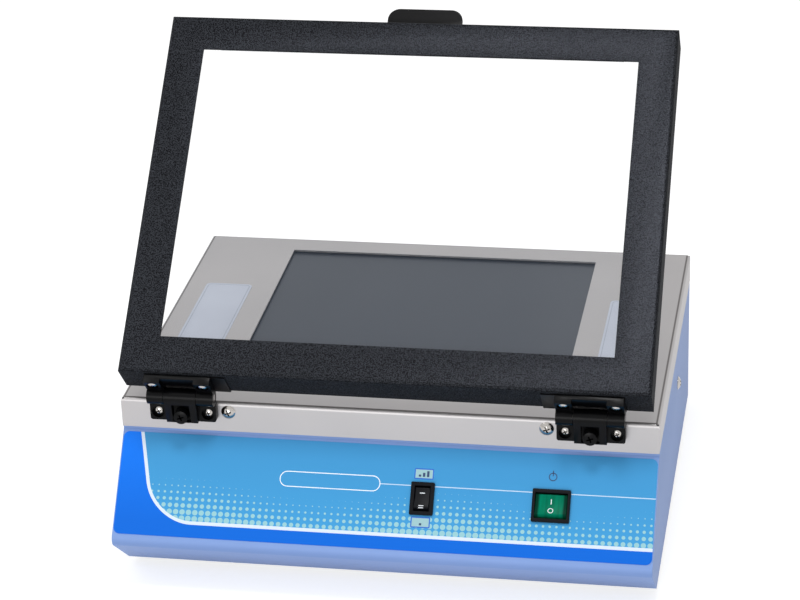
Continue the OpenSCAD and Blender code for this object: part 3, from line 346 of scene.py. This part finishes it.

# Nickel plating, on every screw, stud, pin, post and wire of the instrument: bright warm glints,
# with painted shade in what is sheltered, such as a cross recess
nickel, tree, shader = new_finish("nickel_plated_screw", Metallic=1.0, Roughness=0.18)
here = at_mm(tree)
plating = vary(tree, shader, here, 2, ("#a19d99", "#c9c5c1"))
shelter = add_node(
    tree, "AmbientOcclusion", {"Distance": 1.4 * MM}, only_local=True, samples=8
).outputs["AO"]
exposed = {"Value": shelter, "From Min": FULL_SHADE_UP_TO, "From Max": NO_SHADE_FROM}
open_face = add_node(tree, "MapRange", exposed)
# Painted shade in sheltered recesses such as the cross recess
shades = {"Factor": open_face, "A": linear("#191513"), "B": plating}
recess_shaded = add_node(tree, "Mix", shades, data_type="RGBA")
tree.links.new(recess_shaded.outputs["Result"], shader.inputs["Base Color"])
roughen(tree, shader, here, 0.6, 0.008)
paint_nodes([node for node, slot in SLOT_OF.items() if slot == "zinc"], nickel)

# ---------------------------------------------------------------------------
# Filter glass, let in below the cover's opening. Rolled dark glass that passes
# ultraviolet, in a rubber gasket with a galvanised frame behind it.
# ---------------------------------------------------------------------------

# Roughness where the glass is clearest and where it is haziest
CLEAREST = 0.28
HAZIEST = 0.34

# Dark rolled glass: blue-black, under a soft cool sheen of the room that is a little hazier in
# wiped patches, 25 mm wide and four times as long from front to back
dark_glass, tree, shader = new_finish(
    "dark_filter_glass_rolled",
    Roughness=0.3,
    IOR=1.5,
    Specular_IOR_Level=0.5,
    Specular_Tint=linear("#b6c6e4"),
)
vary(tree, shader, at_mm(tree), 120, ("#0f151e", "#161d28"))
wiped = add_node(
    tree, "TexNoise", {"Vector": at_mm(tree, (1, 0.25, 1)), "Scale": 1 / 25, "Detail": 3.0}
)
haze = add_node(tree, "MapRange", {"Value": wiped, "To Min": CLEAREST, "To Max": HAZIEST})
tree.links.new(haze.outputs[0], shader.inputs["Roughness"])
paint_nodes(["filter_glass"], dark_glass)
paint_nodes(["filter_gasket"], rubber)
paint_nodes(["filter_retainer"], galvanised)

# ---------------------------------------------------------------------------
# Panel film. One printed polyester sheet over the whole slope: a blue field, a
# darker margin with a white rule, and a halftone of dots that fades upwards.
# ---------------------------------------------------------------------------

PANEL_TILT = math.radians(40.4)
PANEL_DROP = 22.8 * MM
SHEET_GAP = 1.4 * MM
FILM_THICK = 0.3 * MM
panel_top = Vector((0, cover_low.y + SHEET_GAP, cover_high.z - PANEL_DROP))
# The panel's own frame: X right, Y up the slope, Z out of the panel
on_panel = Matrix.Translation(panel_top) @ Matrix.Rotation(math.pi / 2 - PANEL_TILT, 4, "X")

# In millimetres across and down the film. The margin's inner edge starts at its left, leans
# inwards by a share of the way down, and turns round a corner to its lower end.
MARGIN_X = -161.0
MARGIN_LEAN = 0.22
MARGIN_END = 60.5
MARGIN_CORNER = 26.0
RULE_W = 2.2
# Thin rule over the right-hand part, level with the switches' upper halves
THIN_RULE_DOWN = 27.2
THIN_RULE_HALF = 0.3
THIN_RULE_START = -2.0
# Dots on a square pitch grow downwards to a share of the pitch. Their upper edge waves up and
# down by a height, and turns by so many radians for each millimetre across.
DOT_PITCH = 4.2
DOT_TOP = 34.0
DOT_END = 58.6
DOT_LARGEST = 0.44
WAVE_HEIGHT = 5.0
WAVE_TURN = 0.037
# Way down the film over which the field's and the margin's colours shade
FIELD_LENGTH = 60.0

# Printed polyester: flat clean colours under a satin top. Its embossed texture, really about
# 0.1 mm, is drawn at 0.5 mm so that it shows.
film, tree, shader = new_finish(
    "printed_polyester_film", Roughness=0.34, Specular_IOR_Level=0.16
)
to_panel = on_panel.inverted()
place = add_node(
    tree,
    "Mapping",
    {
        "Vector": add_node(tree, "TexCoord").outputs["Object"],
        "Rotation": to_panel.to_euler(),
        "Location": to_panel.translation / MM,
        "Scale": (1 / MM, 1 / MM, 1 / MM),
    },
)
spot = add_node(tree, "VectorMath", {0: place, 1: (1, -1, 0)}, operation="MULTIPLY")
axes = add_node(tree, "SeparateXYZ", {0: spot}).outputs
across, down = axes["X"], axes["Y"]

# How far a spot is past the corner's centre, towards the leaning left side and the bottom
lean = {0: down, 1: -MARGIN_LEAN, 2: across}
leaning = add_node(tree, "Math", lean, operation="MULTIPLY_ADD")
centre_across, centre_down = MARGIN_X + MARGIN_CORNER, MARGIN_END - MARGIN_CORNER
past_side = add_node(tree, "Math", {0: centre_across, 1: leaning}, operation="SUBTRACT")
past_end = add_node(tree, "Math", {0: down, 1: centre_down}, operation="SUBTRACT")
past = add_node(tree, "CombineXYZ", {"X": past_side, "Y": past_end})
past = add_node(tree, "VectorMath", {0: past, 1: (0, 0, 0)}, operation="MAXIMUM")
reach = add_node(tree, "VectorMath", {0: past}, operation="LENGTH")
in_rule = add_node(tree, "Math", {0: reach, 1: MARGIN_CORNER}, operation="LESS_THAN")
in_field = add_node(tree, "Math", {0: reach, 1: MARGIN_CORNER - RULE_W}, operation="LESS_THAN")

rule_band = {0: down, 1: THIN_RULE_DOWN, 2: THIN_RULE_HALF}
level_with = add_node(tree, "Math", rule_band, operation="COMPARE")
to_right = add_node(tree, "Math", {0: across, 1: THIN_RULE_START}, operation="GREATER_THAN")
thin_rule = add_node(tree, "Math", {0: level_with, 1: to_right}, operation="MULTIPLY")

pitches = {0: spot, 1: (DOT_PITCH, DOT_PITCH, 1)}
cell = add_node(tree, "VectorMath", pitches, operation="DIVIDE")
cell = add_node(tree, "VectorMath", {0: cell}, operation="FRACTION")
cell = add_node(tree, "VectorMath", {0: cell, 1: (0.5, 0.5, 0)}, operation="SUBTRACT")
from_dot = add_node(tree, "VectorMath", {0: cell}, operation="LENGTH")
turn = add_node(tree, "Math", {0: across, 1: WAVE_TURN}, operation="MULTIPLY")
wave = add_node(tree, "Math", {0: turn}, operation="SINE")
waved = add_node(tree, "Math", {0: wave, 1: WAVE_HEIGHT, 2: down}, operation="MULTIPLY_ADD")
dot_size = add_node(
    tree,
    "MapRange",
    {
        "Value": waved,
        "From Min": DOT_TOP,
        "From Max": DOT_END,
        "To Min": 0.0,
        "To Max": DOT_LARGEST,
    },
)
in_dot = add_node(tree, "Math", {0: from_dot, 1: dot_size}, operation="LESS_THAN")
above_end = add_node(tree, "Math", {0: down, 1: DOT_END}, operation="LESS_THAN")
dots = add_node(tree, "Math", {0: in_dot, 1: above_end}, operation="MULTIPLY")

downwards = add_node(
    tree, "MapRange", {"Value": down, "From Min": 0.0, "From Max": FIELD_LENGTH}
)
field_shades = {"Factor": downwards, "A": linear("#3e8fc6"), "B": linear("#4199d1")}
field = add_node(tree, "Mix", field_shades, data_type="RGBA")
margin_shades = {"Factor": downwards, "A": linear("#0a76ee"), "B": linear("#0465d2")}
colour = add_node(tree, "Mix", margin_shades, data_type="RGBA")
field_dots = add_node(tree, "Math", {0: dots, 1: in_field}, operation="MULTIPLY")
field_rule = add_node(tree, "Math", {0: thin_rule, 1: in_field}, operation="MULTIPLY")
for mask, ink in (
    (in_rule, linear("#d3dfee")),
    (in_field, field),
    (field_dots, linear("#93c4cc")),
    (field_rule, linear("#c0d6ea")),
):
    colour = add_node(tree, "Mix", {"Factor": mask, "A": colour, "B": ink}, data_type="RGBA")
tree.links.new(colour.outputs["Result"], shader.inputs["Base Color"])
roughen(tree, shader, at_mm(tree), 0.5, 0.006)
paint_nodes(["panel_film"], film)

# ---------------------------------------------------------------------------
# Printed marks on the film: opaque screen inks, with an empty pill, plain signs
# for low and high beside the intensity switch, and one for power over the other.
# ---------------------------------------------------------------------------

INK = 0.04 * MM
on_film = on_panel @ Matrix.Translation((0, 0, FILM_THICK))
over_ink = on_film @ Matrix.Translation((0, 0, INK))


def round_plate(width, length, corner, at=(0, 0)):
    """A flat plate with round corners, lying in the XY plane, from sizes in millimetres."""
    bpy.ops.object.select_all(action="DESELECT")
    bpy.ops.mesh.primitive_plane_add(size=1, location=(at[0] * MM, at[1] * MM, 0))
    plate = bpy.context.object
    plate.scale = (width * MM, length * MM, 1)
    bpy.ops.object.transform_apply(location=True, rotation=True, scale=True)
    bpy.ops.object.mode_set(mode="EDIT")
    bpy.ops.mesh.select_all(action="SELECT")
    bpy.ops.mesh.bevel(offset=corner * MM, segments=6, affect="VERTICES")
    bpy.ops.object.mode_set(mode="OBJECT")
    return plate


def round_ring(width, length, corner, wall, at=(0, 0)):
    """The outline of such a plate, with a line that is wall millimetres wide."""
    ring = round_plate(width, length, corner, at)
    bpy.ops.object.mode_set(mode="EDIT")
    bpy.ops.mesh.select_all(action="SELECT")
    bpy.ops.mesh.inset(thickness=wall * MM)
    bpy.ops.mesh.delete(type="FACE")
    bpy.ops.object.mode_set(mode="OBJECT")
    return ring


def merged(pieces):
    """Joins flat pieces into one object."""
    bpy.ops.object.select_all(action="DESELECT")
    for piece in pieces:
        piece.select_set(True)
    bpy.context.view_layer.objects.active = pieces[0]
    bpy.ops.object.join()
    return bpy.context.object


def laid_on(piece, name, material, place, body="base", thick=INK):
    """Ends the active flat piece: its finish, thickness, place and the body that it rides on."""
    piece.name = name
    piece.data.materials.append(material)
    bpy.ops.object.mode_set(mode="EDIT")
    bpy.ops.mesh.select_all(action="SELECT")
    bpy.ops.mesh.extrude_region_move(TRANSFORM_OT_translate={"value": (0, 0, thick)})
    bpy.ops.mesh.select_all(action="SELECT")
    bpy.ops.mesh.normals_make_consistent(inside=False)
    bpy.ops.object.mode_set(mode="OBJECT")
    piece.data.transform(place)
    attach(piece, body)


def opaque_ink(name, colours):
    """Printing ink: one dense matt colour, very slightly uneven over 3 mm."""
    ink, tree, shader = new_finish(name, Roughness=0.4)
    vary(tree, shader, at_mm(tree), 3, colours)
    return ink


white_ink = opaque_ink("screen_ink_white", ("#e4eef6", "#f1f6fb"))
dark_ink = opaque_ink("screen_ink_navy", ("#14305a", "#1c3a66"))
pale_ink = opaque_ink("screen_ink_pale_teal", ("#8fb6bc", "#98bfc5"))
blue_ink = opaque_ink("screen_ink_blue", ("#105cbe", "#1a68ca"))

# From here to the labels, sizes and places are in millimetres, across and up the film
PILL = (65, 10.2, 5)
PILL_LINE = 0.55
PILL_PLACE = (-34.4, -27.3)
laid_on(round_ring(*PILL, PILL_LINE, PILL_PLACE), "print_blank_pill", white_ink, on_film)

INTENSITY_X = 25.5
POWER_X = 107
LEVEL_BOX = (12.4, 7.0, 0.7)
LEVEL_FRAME_LINE = 0.75
BAR_W = 1.5
BAR_CORNER = 0.2
BAR_PITCH = 2.6
BAR_FOOT = 1.9
# Place of each level sign down the film, and the heights of its bars
LEVEL_SIGNS = {19.4: (1.4, 2.6, 3.8), 50.4: (1.4,)}

boxes = merged([round_plate(*LEVEL_BOX, (INTENSITY_X, -s)) for s in LEVEL_SIGNS])
laid_on(boxes, "print_level_boxes", pale_ink, on_film)
frames = merged(
    [round_ring(*LEVEL_BOX, LEVEL_FRAME_LINE, (INTENSITY_X, -s)) for s in LEVEL_SIGNS]
)
laid_on(frames, "print_level_frames", blue_ink, over_ink)
bars = []
for s, heights in LEVEL_SIGNS.items():
    for i, height in enumerate(heights):
        x = INTENSITY_X + (i - (len(heights) - 1) / 2) * BAR_PITCH
        bars.append(round_plate(BAR_W, height, BAR_CORNER, (x, height / 2 - BAR_FOOT - s)))
laid_on(merged(bars), "print_level_bars", dark_ink, over_ink)

SIGN_RING = (5.4, 5.4, 2.69)
SIGN_RING_LINE = 0.6
SIGN_RING_UP = -16.8
SIGN_STROKE = (0.65, 3.6, 0.3)
SIGN_STROKE_UP = -14.6
power_ring = round_ring(*SIGN_RING, SIGN_RING_LINE, (POWER_X, SIGN_RING_UP))
stroke = round_plate(*SIGN_STROKE, (POWER_X, SIGN_STROKE_UP))
laid_on(merged([stroke, power_ring]), "print_power_sign", dark_ink, on_film)

# ---------------------------------------------------------------------------
# Rocker switches. Snap-in bezels of fine-grained black nylon; the intensity
# rocker is black, the power rocker is clear green with a lamp chamber below.
# ---------------------------------------------------------------------------

# Moulded nylon: deep black with a satin break-up of the light. Its spark-eroded grain, really
# about 0.05 mm, is drawn at 0.35 mm so that it shows.
black_nylon, tree, shader = new_finish(
    "moulded_black_nylon", Roughness=0.42, Specular_IOR_Level=0.1
)
here = at_mm(tree)
vary(tree, shader, here, 5, ("#06070b", "#0d0f14"))
roughen(tree, shader, here, 0.35, 0.012)
for node in ("intensity_switch", "power_switch"):
    edge_rounded(node, 0.35 * MM, black_nylon, least=3 * MM)
edge_rounded("intensity_rocker", 0.4 * MM, black_nylon, least=3 * MM)

# Width of the middle of the lens that is left unshaded, and how far the painted shade at its ends
# fades in
LENS_UNSHADED = 14.2
LENS_FADE = 1.2

# Clear green polycarbonate: a deep green with streaks up the slope, 2.2 mm apart, from the prisms
# moulded into its underside, and painted shade at its left and right ends
green_lens, tree, shader = new_finish(
    "green_polycarbonate",
    Roughness=0.3,
    Specular_IOR_Level=0.02,
    Emission_Strength=0.02,
    Emission_Color=linear("#00c878"),
)
here = at_mm(tree)
streaked = vary(tree, shader, at_mm(tree, (1, 0.12, 0.12)), 2.2, ("#003829", "#008a69"))
x = add_node(tree, "SeparateXYZ", {0: here}).outputs["X"]
off_middle = add_node(tree, "Math", {0: x, 1: POWER_X}, operation="SUBTRACT")
away = add_node(tree, "Math", {0: off_middle}, operation="ABSOLUTE")
ends = {"Value": away, "From Min": LENS_UNSHADED / 2, "From Max": LENS_UNSHADED / 2 + LENS_FADE}
painted_end_shade = add_node(tree, "MapRange", ends)
# Painted shade at the lens's left and right ends
shades = {"Factor": painted_end_shade, "A": streaked, "B": linear("#022b22")}
lens_colour = add_node(tree, "Mix", shades, data_type="RGBA")
tree.links.new(lens_colour.outputs["Result"], shader.inputs["Base Color"])
roughen(tree, shader, here, 3, 0.01, 1.0)
edge_rounded("power_rocker", 0.5 * MM, green_lens, least=3 * MM)

# In millimetres: the pivot below the film, the meeting of a rocker's two flats over the pivot, and
# the switches' middle down the film. At rest a rocker is turned by its flats' slope.
PIVOT_DEPTH = 3.0
VALLEY = 3.5
SWITCH_DOWN = 35.4
ROCKER_REST = math.radians(10)


def on_rocker(x, side, out):
    """Place on a rocker's upper (side 1) or lower (side -1) flat, out millimetres off its pivot."""
    rise = VALLEY + out * math.tan(ROCKER_REST)
    return (
        on_film
        @ Matrix.Translation(Vector((x, -SWITCH_DOWN, -PIVOT_DEPTH)) * MM)
        @ Matrix.Rotation(-ROCKER_REST, 4, "X")
        @ Matrix.Translation(Vector((0, side * out, rise)) * MM)
        @ Matrix.Rotation(side * ROCKER_REST, 4, "X")
    )


STROKE_W = 0.5
STROKE_L = 3.2
STROKE_CORNER = 0.1
OFF_RING = (3.6, 3.6, 1.79)
OFF_RING_LINE = 0.45
# How far each of the lower level mark's two strokes lies from its middle
STROKE_OFF = 0.75

stroke = round_plate(STROKE_W, STROKE_L, STROKE_CORNER)
place = on_rocker(POWER_X, side=1, out=2.0)
laid_on(stroke, "power_mark_on", white_ink, place, "power_rocker")
ring = round_ring(*OFF_RING, OFF_RING_LINE)
place = on_rocker(POWER_X, side=-1, out=4.0)
laid_on(ring, "power_mark_off", white_ink, place, "power_rocker")
stroke = round_plate(STROKE_L, STROKE_W, STROKE_CORNER)
place = on_rocker(INTENSITY_X, side=1, out=3.0)
laid_on(stroke, "level_mark_upper", white_ink, place, "intensity_rocker")
strokes = merged(
    [
        round_plate(STROKE_L, STROKE_W, STROKE_CORNER, (0, y))
        for y in (-STROKE_OFF, STROKE_OFF)
    ]
)
place = on_rocker(INTENSITY_X, side=-1, out=6.4)
laid_on(strokes, "level_mark_lower", white_ink, place, "intensity_rocker")

# ---------------------------------------------------------------------------
# Blank labels on the cover beside the filter, of laminated paper with a
# thin printed border.
# ---------------------------------------------------------------------------

LABEL_THICK = 0.18 * MM
LABEL_W = 32.5
LABEL_L = 96
LABEL_CORNER = 3.6
LABEL_X = 141 * MM
LABEL_Y = cover_low.y + 127 * MM
# What the border's outline is less than the label, its corner, and the width of its line
BORDER_LESS = 3
BORDER_CORNER = 2.4
BORDER_LINE = 0.4

# Laminated paper: a pale grey-blue, slightly uneven, with a soft sheen from its film and the
# film's very shallow ripple, 1.2 mm long
paper, tree, shader = new_finish(
    "laminated_label_paper", Roughness=0.42, Specular_IOR_Level=0.3
)
here = at_mm(tree)
vary(tree, shader, here, 30, ("#b4bac8", "#c0c6d3"))
roughen(tree, shader, here, 1.2, 0.002)
grey_ink = opaque_ink("label_ink_grey", ("#8a93a3", "#959eae"))
for side, name in ((-1, "left_label"), (1, "right_label")):
    place = Matrix.Translation((side * LABEL_X, LABEL_Y, cover_high.z))
    label = round_plate(LABEL_W, LABEL_L, LABEL_CORNER)
    laid_on(label, name, paper, place, thick=LABEL_THICK)
    border = (LABEL_W - BORDER_LESS, LABEL_L - BORDER_LESS, BORDER_CORNER, BORDER_LINE)
    on_label = place @ Matrix.Translation((0, 0, LABEL_THICK))
    laid_on(round_ring(*border), name + "_border", grey_ink, on_label)

# ---------------------------------------------------------------------------
# Lid. A deep folded pan with textured black powder coat, a lifting tab, and a
# clear pane of ultraviolet-absorbing acrylic held in it from behind by strips.
# ---------------------------------------------------------------------------

LID_OPEN = math.radians(41.3)
COAT_ROUGHNESS = 0.27
# Roughness of the walls' coat, and how far below the face, in millimetres, it starts and is full
WALL_ROUGHNESS = 0.8
WALL_FROM = 0.3
WALL_FULL = 1.0
# Height of the grain, as noise, up to which the coat is all painted pit shade and from which it is
# all grain colour
PIT_UP_TO = 0.4
GRAIN_FROM = 0.6

# Textured powder coat: charcoal grains that sparkle over pits blackened with painted shade. Its
# texture, really about 0.4 mm, is drawn at 0.75 mm so that it shows.
powder, tree, shader = new_finish(
    "textured_powder_coat_black",
    Roughness=COAT_ROUGHNESS,
    Specular_IOR_Level=0.1,
    Specular_Tint=linear("#e6ecff"),
)
here = at_mm(tree)
grain = roughen(tree, shader, here, 0.75, 0.13, 1.0)
levels = {"Value": grain, "From Min": PIT_UP_TO, "From Max": GRAIN_FROM}
out_of_pits = add_node(tree, "MapRange", levels)
# The pits' black is painted shade
shades = {"Factor": out_of_pits, "A": linear("#000000"), "B": linear("#2b2d31")}
pit_shaded_coat = add_node(tree, "Mix", shades, data_type="RGBA")
tree.links.new(pit_shaded_coat.outputs["Result"], shader.inputs["Base Color"])
# The walls turn away from the spray gun, so below the face the coat is drier and duller. How far
# below is measured with the lid turned back flat.
closing = Matrix.Rotation(-LID_OPEN, 3, "X")
face_z = max((closing @ v.co).z for v in frame["nodes"]["lid_frame"].data.vertices) / MM
as_closed = add_node(tree, "Mapping", {"Vector": here, "Rotation": (-LID_OPEN, 0, 0)})
height = add_node(tree, "SeparateXYZ", {0: as_closed}).outputs["Z"]
dulled = add_node(
    tree,
    "MapRange",
    {
        "Value": height,
        "From Min": face_z - WALL_FULL,
        "From Max": face_z - WALL_FROM,
        "To Min": WALL_ROUGHNESS,
        "To Max": COAT_ROUGHNESS,
    },
)
tree.links.new(dulled.outputs[0], shader.inputs["Roughness"])
edge_rounded("lid_frame", 0.35 * MM, powder, least=40 * MM)
paint_nodes(["pane_strips", "lid_backing_plates"], galvanised)

# Satin black coat: smooth, near black, with soft bright edges and an orange peel of 0.8 mm
satin_black, tree, shader = new_finish(
    "satin_black_coat", Roughness=0.3, Specular_IOR_Level=0.1
)
here = at_mm(tree)
vary(tree, shader, here, 4, ("#030304", "#08080a"))
roughen(tree, shader, here, 0.8, 0.03)
paint_nodes(["hinge_spacers"], satin_black)
edge_rounded("lid_tab", 0.5 * MM, satin_black, least=1 * MM)

# Clear acrylic: all but unseen, with a faint cool veil and a clean weak reflection
acrylic, tree, shader = new_finish(
    "clear_acrylic_pane", Roughness=0.08, Specular_IOR_Level=0.05, Alpha=0.04
)
vary(tree, shader, at_mm(tree), 200, ("#7f8a98", "#8994a2"))
paint_nodes(["lid_pane"], acrylic)

# ---------------------------------------------------------------------------
# Friction hinges. Cast leaves in satin black, screwed through counterbores, with
# a black cross-head screw in the middle block that sets their grip.
# ---------------------------------------------------------------------------

for side in ("left", "right"):
    edge_rounded(side + "_base_leaf", 0.35 * MM, satin_black, least=1.6 * MM)
    edge_rounded(side + "_lid_leaf", 0.35 * MM, satin_black, least=1.6 * MM)
    paint_nodes([side + "_torque_screw"], satin_black)

# ---------------------------------------------------------------------------
# Rear and inside: mains inlet with its fuse drawer and cooling fan, moulded in
# nylon, then tubes over their reflector, ballasts and wiring points.
# ---------------------------------------------------------------------------

edge_rounded("mains_inlet", 0.4 * MM, black_nylon, least=4 * MM)
edge_rounded("fuse_drawer", 0.3 * MM, black_nylon, least=4 * MM)
paint_nodes(["fan_frame", "fan_rotor"], black_nylon)

# Plain brass: warm yellow metal, a little tarnished in patches of 5 mm
brass, tree, shader = new_finish("plain_brass", Metallic=1.0, Roughness=0.3)
here = at_mm(tree)
vary(tree, shader, here, 5, ("#b39a52", "#cdb772"))
roughen(tree, shader, here, 0.8, 0.006)

# Bright aluminium: pale metal with clear, slightly drawn-out reflections. Its rolling lines,
# really about 0.05 mm wide, are drawn 0.8 mm wide so that they show.
bright_aluminium, tree, shader = new_finish(
    "bright_rolled_aluminium", Metallic=1.0, Roughness=0.22
)
vary(tree, shader, at_mm(tree), 40, ("#cdd0d4", "#dfe1e4"))
roughen(tree, shader, at_mm(tree, (0.05, 1, 1)), 0.8, 0.004)

# White plastic: warm white with a soft shine. Its moulded grain, really about 0.1 mm, is drawn
# at 0.6 mm so that it shows.
white_plastic, tree, shader = new_finish("moulded_white_plastic", Roughness=0.4)
here = at_mm(tree)
vary(tree, shader, here, 12, ("#e2e2dc", "#ecece6"))
roughen(tree, shader, here, 0.6, 0.01)

# Coated tube glass: milky white phosphor under a hard clear shine
phosphor, tree, shader = new_finish(
    "phosphor_coated_tube", Roughness=0.18, Coat_Weight=0.5, Coat_Roughness=0.05
)
vary(tree, shader, at_mm(tree), 20, ("#dfe4f2", "#eef1fa"))

FINISH_OF_SLOT = {
    "brass": brass,
    "aluminium": bright_aluminium,
    "white_plastic": white_plastic,
    "tube_glass": phosphor,
    "fuse_glass": phosphor,
}
for node, slot in SLOT_OF.items():
    if slot in FINISH_OF_SLOT:
        paint_nodes([node], FINISH_OF_SLOT[slot])
